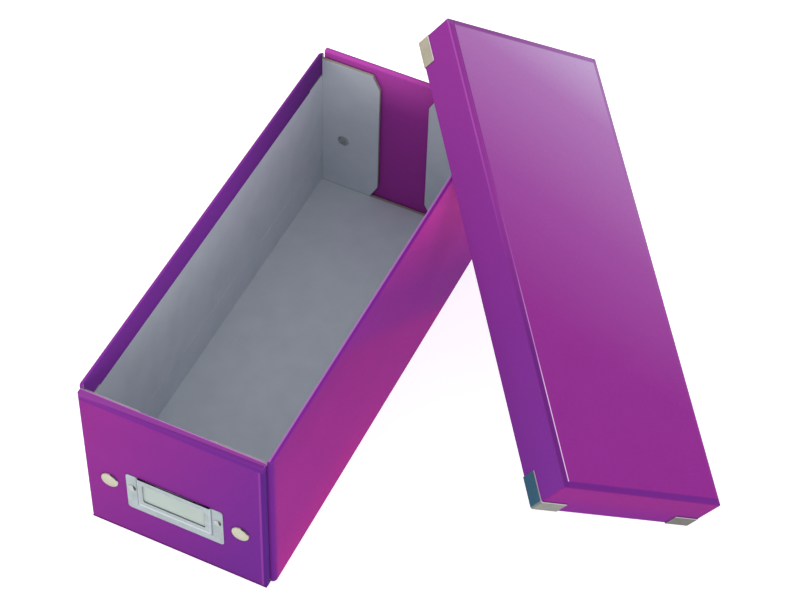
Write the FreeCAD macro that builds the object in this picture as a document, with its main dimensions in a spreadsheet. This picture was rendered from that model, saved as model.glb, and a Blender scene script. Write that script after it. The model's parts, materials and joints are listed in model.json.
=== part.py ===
"""Media storage box of laminated board with a lift-off lid.

The tray stands on the floor at the origin, its front panel facing -Y.
The lid leans at the tray's right side: one corner stands on the floor and
its rim rests on the top edge of the right wall. All sizes are millimetres.
"""
import FreeCAD, Part
import os

import Sketcher
from FreeCAD import Placement, Rotation, Vector

os.makedirs("parts", exist_ok=True)

doc = FreeCAD.newDocument("StorageBox")
sheet = doc.addObject("Spreadsheet::Sheet", "Sizes")

SIZES = {
    # Tray: outer size, and the layers of its walls from the outside in
    "body_width": 138.0,
    "body_depth": 354.0,
    "body_height": 133.0,
    "film": 0.25,
    "board": 2.1,
    "paper": 0.25,
    "corner_radius": 3.2,
    "rim_radius": 2.2,
    "turn_in": 22.5,
    "turn_in_step": 1.8,
    "turn_in_step_length": 18.5,
    "paper_upturn": 27.0,
    # Corner flaps, folded in from the side walls
    "flap_width": 46.0,
    "flap_drop": 5.0,
    "flap_taper": 6.0,
    "flap_lift": 0.3,
    "crease_gap": 0.2,
    # End panels, hinged on the film at their bottom outer edge
    "end_ply": 2.4,
    "end_inset": 3.0,
    "end_gap": 0.9,
    "hinge_lift": 0.1,
    "panel_radius": 1.7,
    "panel_inner_radius": 1.0,
    # Press studs: cap and socket on the panel, stud on the flap
    "stud_from_side": 20.8,
    "stud_height": 52.0,
    "cap_diameter": 12.5,
    "cap_height": 1.4,
    "cap_dish": 0.75,
    "cap_lip": 1.1,
    "barrel_diameter": 3.6,
    "socket_diameter": 9.4,
    "socket_base": 0.4,
    "socket_bore": 6.8,
    "spring_wire": 0.5,
    "spring_clearance": 0.4,
    "stud_diameter": 4.0,
    "stud_neck": 3.3,
    "stud_length": 2.1,
    "flange_diameter": 9.0,
    "flange_thickness": 0.4,
    "stem_diameter": 2.6,
    "stud_back_diameter": 9.0,
    "stud_back_height": 0.8,
    "fit_clearance": 0.05,
    # Label holder and its card
    "holder_height": 36.0,
    "holder_bottom": 30.7,
    "holder_metal": 0.5,
    "holder_corner_radius": 2.5,
    "pocket_width": 54.4,
    "ear_width": 8.4,
    "pocket_bottom": 7.0,
    "pocket_rise": 1.2,
    "pocket_slope": 1.0,
    "window_width": 46.0,
    "window_height": 18.6,
    "window_bottom": 13.2,
    "window_radius": 1.4,
    "holder_rivet_height": 22.6,
    "holder_rivet_head": 5.8,
    "holder_rivet_dome": 1.1,
    "holder_rivet_shank": 2.4,
    "card_clearance": 0.4,
    "card_thickness": 0.4,
    # Lid: a shallow tray turned over, with a low bevel along its top edges
    "lid_clearance": 0.6,
    "lid_board": 1.5,
    "lid_height": 33.0,
    "lid_corner_radius": 1.2,
    "lid_bevel_width": 4.6,
    "lid_bevel_drop": 0.85,
    "lid_turn_in": 20.0,
    # Metal guards, clenched over the rim at the lid's corners
    "guard_metal": 0.45,
    "guard_leg": 22.0,
    "guard_height": 10.5,
    "guard_return": 6.0,
    # The lid's lean: its angles, and where its rim crosses the tray's wall
    "lean_turn": 37.26,
    "lean_rise": 13.10,
    "lean_roll": 33.59,
    "lean_cross": 102.0,
    "lean_gap": 0.35,
}

for row, (alias, number) in enumerate(SIZES.items(), start=1):
    sheet.set(f"A{row}", alias.replace("_", " "))
    sheet.set(f"B{row}", str(number))
    sheet.setAlias(f"B{row}", alias)
doc.recompute()

NODES = []


def size(*terms):
    """Join terms into an expression in which each known size names its cell."""
    words = " ".join(str(term) for term in terms).split()
    return " ".join(f"Sizes.{word}" if word in SIZES else word for word in words)


def value(expression):
    """Return an expression's present value."""
    return float(sheet.evalExpression(expression))


def node(solid, label):
    """Keep an object as a sub-part under the label that names its file."""
    solid.Label = label
    NODES.append(solid)
    return solid


def block(name, x, y, z):
    """Make a box between the (low, high) expressions of each axis."""
    solid = doc.addObject("Part::Box", name)
    for length, axis, (low, high) in (("Length", "x", x), ("Width", "y", y), ("Height", "z", z)):
        solid.setExpression(length, f"({high}) - ({low})")
        solid.setExpression(f"Placement.Base.{axis}", low)
    return solid


def rod(name, diameter, start, length, x, z):
    """Make a cylinder along +Y from start, centred on x and z."""
    solid = doc.addObject("Part::Cylinder", name)
    solid.Placement.Rotation = Rotation(Vector(1, 0, 0), -90)
    solid.setExpression("Radius", f"({diameter}) / 2")
    solid.setExpression("Height", length)
    for axis, place in (("x", x), ("y", start), ("z", z)):
        solid.setExpression(f"Placement.Base.{axis}", place)
    return solid


def stem(name, diameter, start, length, x, z):
    """Make a hidden stem or its hole, eight-sided, along +Y from start."""
    solid = wire(name, diameter, length, x, start, z)
    solid.Placement.Rotation = Rotation(Vector(1, 0, 0), -90)
    return solid


def wire(name, diameter, length, x, y, z):
    """Make a thin eight-sided bar, upright on its lower end."""
    solid = doc.addObject("Part::Prism", name)
    solid.Polygon = 8
    solid.setExpression("Circumradius", f"({diameter}) / 2")
    solid.setExpression("Height", length)
    for axis, place in (("x", x), ("y", y), ("z", z)):
        solid.setExpression(f"Placement.Base.{axis}", place)
    return solid


def cut(name, base, *tools):
    """Cut the tools from the base."""
    solid = doc.addObject("Part::Cut", name)
    solid.Base = base
    solid.Tool = tools[0] if len(tools) == 1 else fuse(f"{name}_tools", *tools)
    solid.Refine = True
    return solid


def fuse(name, *pieces):
    """Fuse the pieces into one shape."""
    solid = doc.addObject("Part::MultiFuse", name)
    solid.Shapes = list(pieces)
    solid.Refine = True
    return solid


def common(name, base, tool):
    """Keep what two shapes share."""
    solid = doc.addObject("Part::Common", name)
    solid.Base = base
    solid.Tool = tool
    solid.Refine = True
    return solid


def mirror(name, source, normal):
    """Mirror a shape through the origin across the plane with this normal."""
    solid = doc.addObject("Part::Mirroring", name)
    solid.Source = source
    solid.Normal = normal
    return solid


def group(name, *pieces):
    """Hold several separate solids as one sub-part."""
    solid = doc.addObject("Part::Compound", name)
    solid.Links = list(pieces)
    return solid


def rounded(name, base, radius, chosen):
    """Fillet the edges that the test chooses from their middle and direction."""
    doc.recompute()
    fillet = doc.addObject("Part::Fillet", name)
    fillet.Base = base
    reach = value(radius)
    edges = []
    for index, edge in enumerate(base.Shape.Edges, start=1):
        middle = edge.BoundBox.Center
        direction = edge.tangentAt(edge.FirstParameter)
        if chosen(middle, direction):
            edges.append((index, reach, reach))
    fillet.Edges = edges
    return fillet


def bevelled(name, base, reach, chosen):
    """Chamfer the edges that the test chooses."""
    doc.recompute()
    chamfer = doc.addObject("Part::Chamfer", name)
    chamfer.Base = base
    length = value(reach)
    chamfer.Edges = [
        (index, length, length)
        for index, edge in enumerate(base.Shape.Edges, start=1)
        if chosen(edge.BoundBox.Center, edge.tangentAt(edge.FirstParameter))
    ]
    return chamfer


def is_upright(middle, direction):
    """Tell a vertical edge."""
    return abs(direction.z) > 0.99


def profile(body, plane, name, points):
    """Draw a closed outline whose corners are held by expressions."""
    sketch = body.newObject("Sketcher::SketchObject", name)
    datum = [item for item in body.Origin.OriginFeatures if item.Role == plane][0]
    sketch.AttachmentSupport = [(datum, "")]
    sketch.MapMode = "FlatFace"
    corners = [(value(x), value(y)) for x, y in points]
    count = len(points)
    for index, (x, y) in enumerate(corners):
        end = corners[(index + 1) % count]
        sketch.addGeometry(Part.LineSegment(Vector(x, y, 0), Vector(*end, 0)), False)
    for index in range(count):
        sketch.addConstraint(Sketcher.Constraint("Coincident", index, 2, (index + 1) % count, 1))
    for index, point in enumerate(points):
        for letter, kind, expression in (("x", "DistanceX", point[0]), ("y", "DistanceY", point[1])):
            held = Sketcher.Constraint(kind, -1, 1, index, 1, value(expression))
            number = sketch.addConstraint(held)
            sketch.renameConstraint(number, f"{letter}{index}")
            sketch.setExpression(f"Constraints.{letter}{index}", expression)
    return sketch


def rectangle(x_low, x_high, y_low, y_high):
    """List the corners of a rectangle as expressions."""
    return [(x_low, y_low), (x_high, y_low), (x_high, y_high), (x_low, y_high)]


def pad(body, sketch, length, name):
    """Pad a sketch along its normal."""
    feature = body.newObject("PartDesign::Pad", name)
    feature.Profile = sketch
    feature.setExpression("Length", length)
    doc.recompute()
    return feature


def pocket(body, sketch, length, name):
    """Cut a sketch along the direction in which its pads grow."""
    before = body.Shape.Volume
    feature = body.newObject("PartDesign::Pocket", name)
    feature.Profile = sketch
    feature.Reversed = True
    feature.setExpression("Length", length)
    doc.recompute()
    if body.Shape.Volume > before - 1e-6:
        raise RuntimeError(f"{name} cuts nothing")
    return feature


def soften(body, name, radius, chosen):
    """Fillet a body's edges that the test chooses."""
    base = body.Tip
    edges = []
    for index, edge in enumerate(base.Shape.Edges, start=1):
        if chosen(edge.BoundBox.Center, edge.tangentAt(edge.FirstParameter)):
            edges.append(f"Edge{index}")
    feature = body.newObject("PartDesign::Fillet", name)
    feature.Base = (base, edges)
    feature.setExpression("Radius", radius)
    doc.recompute()
    return feature


def turned(name, points):
    """Turn a profile of (radius, height) expressions about the Z axis."""
    body = doc.addObject("PartDesign::Body", name)
    sketch = profile(body, "XZ_Plane", f"{name}_profile", points)
    doc.recompute()
    feature = body.newObject("PartDesign::Revolution", f"{name}_turn")
    feature.Profile = sketch
    feature.ReferenceAxis = (sketch, ["V_Axis"])
    feature.Angle = 360
    doc.recompute()
    return body


def face_out(body, x, y, z, outward=90):
    """Stand a turned piece on its place with its axis along -Y, or +Y for -90."""
    body.Placement.Rotation = Rotation(Vector(1, 0, 0), outward)
    for axis, place in (("x", x), ("y", y), ("z", z)):
        body.setExpression(f"Placement.Base.{axis}", place)


# Places that several pieces share

half_width = size("body_width / 2")
half_depth = size("body_depth / 2")
panel_depth = size("( 2 * film + 2 * end_ply )")
tray_end = size("( body_depth / 2 - 2 * film - 2 * end_ply - end_gap )")
wall_inside = size("film + board + paper")
bend_end = size("( body_width / 2 - corner_radius )")
flap_bottom = size("( film + board + paper + flap_lift )")
flap_top = size("( body_height - flap_drop )")
flap_root = size("( body_width / 2 - corner_radius - crease_gap )")
flap_tip = size("( body_width / 2 - corner_radius - crease_gap - flap_width )")
stud_x = size("( body_width / 2 - stud_from_side )")
stud_z = size("stud_height")
holder_rivet_x = size("( pocket_width / 2 + ear_width / 2 )")
holder_rivet_z = size("( holder_bottom + holder_rivet_height )")
LEFT_RIGHT = Vector(1, 0, 0)
FRONT_REAR = Vector(0, 1, 0)


def tray_form(name, inset, bottom, top, rounded_top=False):
    """Make the tray's outline as a solid, drawn in by an inset on all sides."""
    x = (f"0 - {half_width} + {inset}", f"{half_width} - ({inset})")
    y = (f"0 - {tray_end} + {inset}", f"{tray_end} - ({inset})")
    solid = block(f"{name}_block", x, y, (bottom, top))
    reach = value(f"Sizes.corner_radius - ({inset})")
    if reach > 0:
        solid = rounded(f"{name}_corners", solid, f"Sizes.corner_radius - ({inset})", is_upright)
    if rounded_top:
        height = value(top)
        shoulder = f"Sizes.rim_radius - ({inset})"
        solid = rounded(name, solid, shoulder, lambda middle, way: abs(middle.z - height) < 1e-6)
    return solid


def make_tray():
    """Build the tray: floor, side walls with their bends, flaps, film and paper."""
    full = size("body_height")
    below = size("0 - corner_radius")
    above = size("body_height + corner_radius")
    film, under_paper = size("film"), size("film + board")
    board_top = size("body_height - film")
    outside = tray_form("film_outside", "0", "0", full, rounded_top=True)
    board_outside = tray_form("board_outside", film, film, board_top, rounded_top=True)
    board_low = tray_form("board_outside_low", film, below, board_top, rounded_top=True)
    board_inside = tray_form("board_inside", under_paper, below, above)
    paper_inside = tray_form("paper_inside", wall_inside, below, above)

    right_side = block(
        "right_side",
        (bend_end, size("body_width")),
        (size("0 - body_depth"), size("body_depth")),
        (below, above),
    )

    # Boards of the side walls, each with the bends at its ends
    ring = cut("board_ring", board_outside, board_inside)
    right_board = node(common("right_board", ring, right_side), "right_wall_board")
    node(mirror("left_board", right_board, LEFT_RIGHT), "left_wall_board")

    # Film: outside, over the rim and turned in, with a short step near each end
    shell = cut("film_shell", outside, board_low, paper_inside)
    turn_outer = tray_form("turn_in_outside", under_paper, size("body_height - turn_in"), board_top)
    band = cut("turn_in_band", turn_outer, paper_inside)
    step_y = f"{tray_end} - ({wall_inside}) - Sizes.turn_in_step_length"
    step_z = size("body_height - turn_in + turn_in_step")
    step_front = block(
        "turn_in_step_front",
        (size("0 - body_width"), size("body_width")),
        (size("0 - body_depth"), f"0 - ({step_y})"),
        (below, step_z),
    )
    step_rear = mirror("turn_in_step_rear", step_front, FRONT_REAR)
    side_band = cut("side_turn_in", band, step_front, step_rear)
    wrap = fuse("film_wrap", shell, side_band)
    right_wrap = common("right_wrap", wrap, right_side)

    # Flaps: boards that taper to their free end, papered inside and filmed outside
    flap_board_y = (f"0 - {tray_end} + Sizes.film", f"0 - {tray_end} + Sizes.film + Sizes.board")
    flap_outline = [
        (flap_root, flap_bottom),
        (flap_root, flap_top),
        (f"{flap_tip} + Sizes.flap_taper", flap_top),
        (flap_tip, f"{flap_top} - 2 * Sizes.flap_taper"),
        (flap_tip, f"{flap_bottom} + 2 * Sizes.flap_taper"),
        (f"{flap_tip} + Sizes.flap_taper", flap_bottom),
    ]

    def flap_layer(name, start, thickness):
        body = doc.addObject("PartDesign::Body", name)
        outline = profile(body, "XZ_Plane", f"{name}_outline", flap_outline)
        doc.recompute()
        pad(body, outline, thickness, f"{name}_pad")
        body.setExpression("Placement.Base.y", f"({start}) + ({thickness})")
        return body

    stem_hole = stem(
        "flap_stem_hole",
        size("stem_diameter + 2 * fit_clearance"),
        f"0 - {tray_end} - Sizes.film",
        f"{wall_inside} + 2 * Sizes.film",
        stud_x,
        stud_z,
    )
    flap_board_layer = flap_layer("flap_board_layer", flap_board_y[0], size("board"))
    flap_film_layer = flap_layer("flap_film_layer", f"0 - {tray_end}", size("film"))
    flap_paper_layer = flap_layer("flap_paper_layer", flap_board_y[1], size("paper"))
    flap_board = cut("front_right_flap_solid", flap_board_layer, stem_hole)
    flap_film = cut("front_right_flap_film", flap_film_layer, stem_hole)
    flap_paper = cut("front_right_flap_paper", flap_paper_layer, stem_hole)

    # The wall's film runs on over the flaps, across their creases
    crease_film = block(
        "crease_film",
        (flap_root, bend_end),
        (f"0 - {tray_end}", f"0 - {tray_end} + Sizes.film"),
        (flap_bottom, flap_top),
    )
    flap_cover = fuse("front_right_cover", flap_film, crease_film)
    right_cover = fuse(
        "right_cover",
        right_wrap,
        flap_cover,
        mirror("rear_right_cover", flap_cover, FRONT_REAR),
    )
    node(right_cover, "right_wall_cover")
    node(mirror("left_cover", right_cover, LEFT_RIGHT), "left_wall_cover")

    node(flap_board, "front_right_flap")
    front_left = node(mirror("front_left_flap_solid", flap_board, LEFT_RIGHT), "front_left_flap")
    node(mirror("rear_right_flap_solid", flap_board, FRONT_REAR), "rear_right_flap")
    node(mirror("rear_left_flap_solid", front_left, FRONT_REAR), "rear_left_flap")
    front_papers = group(
        "front_flap_papers",
        flap_paper,
        mirror("front_left_flap_paper", flap_paper, LEFT_RIGHT),
    )
    node(front_papers, "front_flap_linings")
    node(mirror("rear_flap_papers", front_papers, FRONT_REAR), "rear_flap_linings")

    # Floor: board with its corners notched for the bends, film below, paper above
    floor_body = doc.addObject("PartDesign::Body", "floor_body")
    x_wall = f"({half_width} - Sizes.film - Sizes.board)"
    x_bend = f"({bend_end} - Sizes.crease_gap)"
    y_end = f"({tray_end} - Sizes.film)"
    y_bend = f"({tray_end} - Sizes.corner_radius - Sizes.crease_gap)"
    notched = [
        (x_wall, f"0 - {y_bend}"), (x_wall, y_bend), (x_bend, y_bend), (x_bend, y_end),
        (f"0 - {x_bend}", y_end), (f"0 - {x_bend}", y_bend), (f"0 - {x_wall}", y_bend),
        (f"0 - {x_wall}", f"0 - {y_bend}"), (f"0 - {x_bend}", f"0 - {y_bend}"),
        (f"0 - {x_bend}", f"0 - {y_end}"), (x_bend, f"0 - {y_end}"), (x_bend, f"0 - {y_bend}"),
    ]
    floor_sketch = profile(floor_body, "XY_Plane", "floor_outline", notched)
    doc.recompute()
    pad(floor_body, floor_sketch, size("board"), "floor_pad")
    floor_body.setExpression("Placement.Base.z", film)
    node(floor_body, "floor_board")

    floor_film = tray_form("floor_film", film, "0", film)
    panel_x = size("( body_width / 2 - end_inset )")
    hinge_strip = block(
        "hinge_strip",
        (f"0 - {panel_x}", panel_x),
        (f"0 - {half_depth}", half_depth),
        ("0", film),
    )
    between_walls = block(
        "between_walls",
        (f"0 - {bend_end}", bend_end),
        (f"0 - {half_depth}", half_depth),
        ("0", film),
    )
    strip = common("hinge_strips", hinge_strip, between_walls)
    node(fuse("floor_film_whole", floor_film, strip), "floor_cover")

    paper_top = size("film + board + paper")
    paper_x = f"({half_width} - Sizes.film - Sizes.board - Sizes.paper)"
    floor_sheet = tray_form("floor_sheet", wall_inside, under_paper, paper_top)
    upturn = block(
        "right_upturn",
        (f"{paper_x} - Sizes.paper", paper_x),
        (f"0 - {y_bend}", y_bend),
        (under_paper, f"{paper_top} + Sizes.paper_upturn"),
    )
    upturns = (upturn, mirror("left_upturn", upturn, LEFT_RIGHT))
    node(fuse("floor_paper", floor_sheet, *upturns), "floor_lining")

    # Paper on the side walls, from the floor up to the turned-in film
    paper_outer = tray_form(
        "paper_outside", under_paper, under_paper, size("body_height - turn_in")
    )
    paper_ring = cut("paper_ring", paper_outer, paper_inside)
    right_paper = node(common("right_paper", paper_ring, right_side), "right_wall_lining")
    node(mirror("left_paper", right_paper, LEFT_RIGHT), "left_wall_lining")


def make_studs():
    """Build the press studs that hold the flaps to the panels."""
    # Stud: a flange on the flap's outer face, a neck and a wider head beyond it
    head, neck = size("stud_diameter / 2"), size("stud_neck / 2")
    flange = size("flange_diameter / 2")
    seat, tip = size("flange_thickness"), size("flange_thickness + stud_length")
    button = turned("stud_button", [
        ("0", "0"),
        (flange, "0"),
        (flange, seat),
        (neck, seat),
        (head, size("flange_thickness + stud_length * 0.65")),
        (neck, tip),
        ("0", tip),
    ])
    face_out(button, stud_x, f"0 - {tray_end}", stud_z)
    shank = stem("stud_stem", size("stem_diameter"), f"0 - {tray_end}", wall_inside,
                 stud_x, stud_z)
    male = fuse("stud_solid", button, shank)
    front = group("front_stud_pair", male, mirror("front_left_stud", male, LEFT_RIGHT))
    node(front, "front_studs")
    node(mirror("rear_stud_pair", front, FRONT_REAR), "rear_studs")

    # Stud back: a low domed plate clenched on the stem, on the flap's papered side
    radius = size("stud_back_diameter / 2")
    height = size("stud_back_height")
    back = turned("stud_back_solid", [
        ("0", "0"),
        (radius, "0"),
        (radius, size("stud_back_height * 0.4")),
        (size("stud_back_diameter * 0.3"), height),
        ("0", height),
    ])
    face_out(back, stud_x, f"0 - {tray_end} + ({wall_inside})", stud_z, outward=-90)
    backs = group("front_stud_back_pair", back, mirror("front_left_back", back, LEFT_RIGHT))
    node(backs, "front_stud_backs")
    node(mirror("rear_stud_back_pair", backs, FRONT_REAR), "rear_stud_backs")


def make_end_panels():
    """Build the two-ply end panels with their caps, sockets and springs."""
    panel_x = size("( body_width / 2 - end_inset )")
    panel_y = (f"0 - {half_depth}", f"0 - {half_depth} + {panel_depth}")
    lift = size("( film + hinge_lift )")
    full = size("body_height")
    outer_y, inner_y = panel_y

    def panel_block(name, inset):
        x = (f"0 - {panel_x} + {inset}", f"{panel_x} - ({inset})")
        y = (f"{outer_y} + {inset}", f"{inner_y} - ({inset})")
        return block(name, x, y, (f"{lift} + {inset}", f"{full} - ({inset})"))

    def lies_at(place):
        level = value(place)
        return lambda middle, way: abs(middle.y - level) < 1e-6

    # The film is round at its edges; the boards inside it have theirs pressed flat
    outside = rounded("panel_outside_face", panel_block("panel_outside", "0"),
                      size("panel_radius"), lies_at(outer_y))
    outside = rounded("panel_inside_face", outside, size("panel_inner_radius"), lies_at(inner_y))
    core = bevelled("panel_core_face", panel_block("panel_core", size("film")),
                    size("0.586 * ( panel_radius - film )"), lies_at(f"{outer_y} + Sizes.film"))
    core = bevelled("panel_core_back", core,
                    size("0.586 * ( panel_inner_radius - film )"),
                    lies_at(f"{inner_y} - Sizes.film"))
    ply_seam = f"(0 - {half_depth} + {panel_depth} / 2)"
    outer_half = block(
        "panel_outer_half",
        (f"0 - {half_width}", half_width),
        (size("0 - body_depth"), ply_seam),
        (size("0 - board"), size("body_height + board")),
    )

    # Holes for the cap barrels and for the sockets
    def pair_of(name, maker, diameter, start, length, x, z):
        right = maker(f"{name}_right", diameter, start, length, x, z)
        return group(f"{name}_pair", right, mirror(f"{name}_left", right, LEFT_RIGHT))

    barrel_holes = pair_of(
        "barrel_hole", stem, size("barrel_diameter + 2 * fit_clearance"),
        f"0 - {half_depth} - Sizes.film", size("2 * film + end_ply + fit_clearance"),
        stud_x, stud_z,
    )
    socket_holes = pair_of(
        "socket_hole", rod, size("socket_diameter + 2 * fit_clearance"),
        ply_seam, size("end_ply + 2 * film"), stud_x, stud_z,
    )
    rear_cover = cut("panel_film_holed", outside, core, barrel_holes, socket_holes)
    outer_ply = cut("outer_ply_holed", common("outer_ply", core, outer_half), barrel_holes)
    inner_ply = cut("inner_ply_holed", cut("inner_ply", core, outer_half), socket_holes)

    # Cap: a dished face inside a rounded lip, with a barrel through the outer ply
    lip = size("cap_diameter / 2")
    cap_face = turned("cap_face", [
        ("0", "0"),
        (lip, "0"),
        (lip, size("cap_height * 0.6")),
        (size("cap_diameter / 2 - cap_lip * 0.5"), size("cap_height")),
        (size("cap_diameter / 2 - cap_lip * 1.3"), size("cap_height - cap_dish")),
        ("0", size("cap_height - cap_dish")),
    ])
    face_out(cap_face, stud_x, f"0 - {half_depth}", stud_z)
    barrel = stem("cap_barrel", size("barrel_diameter"), f"0 - {half_depth}",
                  size("film + end_ply"), stud_x, stud_z)
    cap = fuse("cap_solid", cap_face, barrel)

    # Socket: a cup in the inner ply, open to the stud
    bore = size("socket_bore / 2")
    socket = turned("socket_solid", [
        ("0", "0"),
        (size("socket_diameter / 2"), "0"),
        (size("socket_diameter / 2"), size("end_ply + film")),
        (bore, size("end_ply + film")),
        (bore, size("socket_base")),
        ("0", size("socket_base")),
    ])
    face_out(socket, stud_x, ply_seam, stud_z, outward=-90)

    # Springs: two straight wires across the cup, one on either side of the stud
    reach = size("( stud_diameter / 2 + spring_clearance + spring_wire / 2 )")
    chord = f"sqrt(({bore}) ^ 2 - ({reach} + Sizes.spring_wire / 2) ^ 2)"
    wire_length = f"2 * ({chord} - Sizes.fit_clearance)"
    wire_y = f"{ply_seam} + Sizes.socket_base + Sizes.end_ply / 2"
    wire_low = f"{stud_z} - ({chord}) + Sizes.fit_clearance"
    wires = group(
        "right_spring_wires",
        wire("outer_wire", size("spring_wire"), wire_length, f"{stud_x} + {reach}", wire_y, wire_low),
        wire("inner_wire", size("spring_wire"), wire_length, f"{stud_x} - {reach}", wire_y, wire_low),
    )

    pairs = {}
    for name, solid in (("stud_caps", cap), ("stud_sockets", socket), ("stud_springs", wires)):
        left = mirror(f"front_left_{name}", solid, LEFT_RIGHT)
        pairs[name] = group(f"front_{name}_group", solid, left)
        node(pairs[name], f"front_{name}")
        rear = mirror(f"rear_{name}_group", pairs[name], FRONT_REAR)
        node(rear, f"rear_{name}")

    # The front panel also has the holes of the label holder's rivets
    rivet_holes = pair_of(
        "holder_rivet_hole", stem, size("holder_rivet_shank + 2 * fit_clearance"),
        f"0 - {half_depth} - Sizes.film", size("2 * film + end_ply - fit_clearance"),
        holder_rivet_x, holder_rivet_z,
    )
    node(cut("front_panel_film", rear_cover, rivet_holes), "front_panel_cover")
    node(cut("front_outer_ply", outer_ply, rivet_holes), "front_outer_board")
    node(inner_ply, "front_inner_board")
    node(mirror("rear_panel_film", rear_cover, FRONT_REAR), "rear_panel_cover")
    node(mirror("rear_outer_ply", outer_ply, FRONT_REAR), "rear_outer_board")
    node(mirror("rear_inner_ply", inner_ply, FRONT_REAR), "rear_inner_board")


def make_label_holder():
    """Build the pressed label holder, its rivets and the card in its pocket."""
    # Plate with ears, then the raised pocket whose top end is open
    body = doc.addObject("PartDesign::Body", "holder_body")
    half = size("( pocket_width / 2 + ear_width )")
    top = size("holder_height")
    plate = profile(body, "XZ_Plane", "holder_plate", rectangle(f"0 - {half}", half, "0", top))
    doc.recompute()
    pad(body, plate, size("holder_metal"), "holder_plate_pad")
    soften(body, "holder_corners", size("holder_corner_radius"),
           lambda middle, way: abs(way.y) > 0.99)
    half = size("pocket_width / 2")
    low = size("pocket_bottom")
    raised = profile(body, "XZ_Plane", "pocket_raised", rectangle(f"0 - {half}", half, low, top))
    doc.recompute()
    pad(body, raised, size("holder_metal + pocket_rise"), "pocket_pad")
    face_y = 0 - value(size("holder_metal + pocket_rise"))
    top_z = value(top)
    base = body.Tip
    slope = body.newObject("PartDesign::Chamfer", "pocket_slopes")
    edges = [
        f"Edge{index}"
        for index, edge in enumerate(base.Shape.Edges, start=1)
        if abs(edge.BoundBox.Center.y - face_y) < 1e-6
        and abs(edge.BoundBox.Center.z - top_z) > 1e-6
    ]
    slope.Base = (base, edges)
    slope.setExpression("Size", size("pocket_slope"))
    doc.recompute()
    inner = size("( pocket_width / 2 - holder_metal * 1.5 )")
    cavity = profile(
        body, "XZ_Plane", "pocket_cavity",
        rectangle(f"0 - {inner}", inner, size("pocket_bottom + holder_metal * 1.5"),
                  size("holder_height + holder_metal")),
    )
    doc.recompute()
    pocket(body, cavity, size("pocket_rise"), "pocket_hollow")
    half = size("window_width / 2")
    window = profile(
        body, "XZ_Plane", "window",
        rectangle(f"0 - {half}", half, size("window_bottom"),
                  size("window_bottom + window_height")),
    )
    doc.recompute()
    pocket(body, window, size("2 * ( holder_metal + pocket_rise )"), "window_cut")
    side = value(half)
    soften(body, "window_corners", size("window_radius"),
           lambda middle, way: abs(way.y) > 0.99 and abs(abs(middle.x) - side) < 1e-3)
    body.setExpression("Placement.Base.y", f"0 - {half_depth}")
    body.setExpression("Placement.Base.z", size("holder_bottom"))
    shank_hole = stem(
        "holder_hole_right", size("holder_rivet_shank + 2 * fit_clearance"),
        f"0 - {half_depth} - 4 * Sizes.holder_metal", size("5 * holder_metal"),
        holder_rivet_x, holder_rivet_z,
    )
    holes = group("holder_holes", shank_hole, mirror("holder_hole_left", shank_hole, LEFT_RIGHT))
    node(cut("holder_holed", body, holes), "label_holder")

    # Domed rivets through the ears into the outer ply
    dome = size("holder_rivet_dome")
    head = turned("rivet_head", [
        ("0", "0"),
        (size("holder_rivet_head / 2"), "0"),
        (size("holder_rivet_head * 0.43"), size("holder_rivet_dome * 0.5")),
        (size("holder_rivet_head * 0.25"), size("holder_rivet_dome * 0.9")),
        ("0", dome),
    ])
    face_out(head, holder_rivet_x, f"0 - {half_depth} - Sizes.holder_metal", holder_rivet_z)
    shank = stem("rivet_shank", size("holder_rivet_shank"), f"0 - {half_depth} - Sizes.holder_metal",
                 size("holder_metal + film + end_ply - fit_clearance"),
                 holder_rivet_x, holder_rivet_z)
    rivet = fuse("holder_rivet_solid", head, shank)
    node(group("holder_rivet_pair", rivet, mirror("holder_rivet_left", rivet, LEFT_RIGHT)),
         "label_rivets")

    # The card stands loose in the pocket, a little lower than the pocket's mouth
    card = doc.addObject("PartDesign::Body", "card_body")
    half = f"({inner} - Sizes.card_clearance)"
    low = size("( holder_bottom + pocket_bottom + holder_metal * 1.5 )")
    high = size("( holder_bottom + holder_height - card_clearance )")
    outline = profile(card, "XZ_Plane", "card_outline", rectangle(f"0 - {half}", half, low, high))
    doc.recompute()
    pad(card, outline, size("card_thickness"), "card_pad")
    card.setExpression("Placement.Base.y", f"0 - {half_depth} - Sizes.card_clearance / 2")
    node(card, "label_card")


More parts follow.
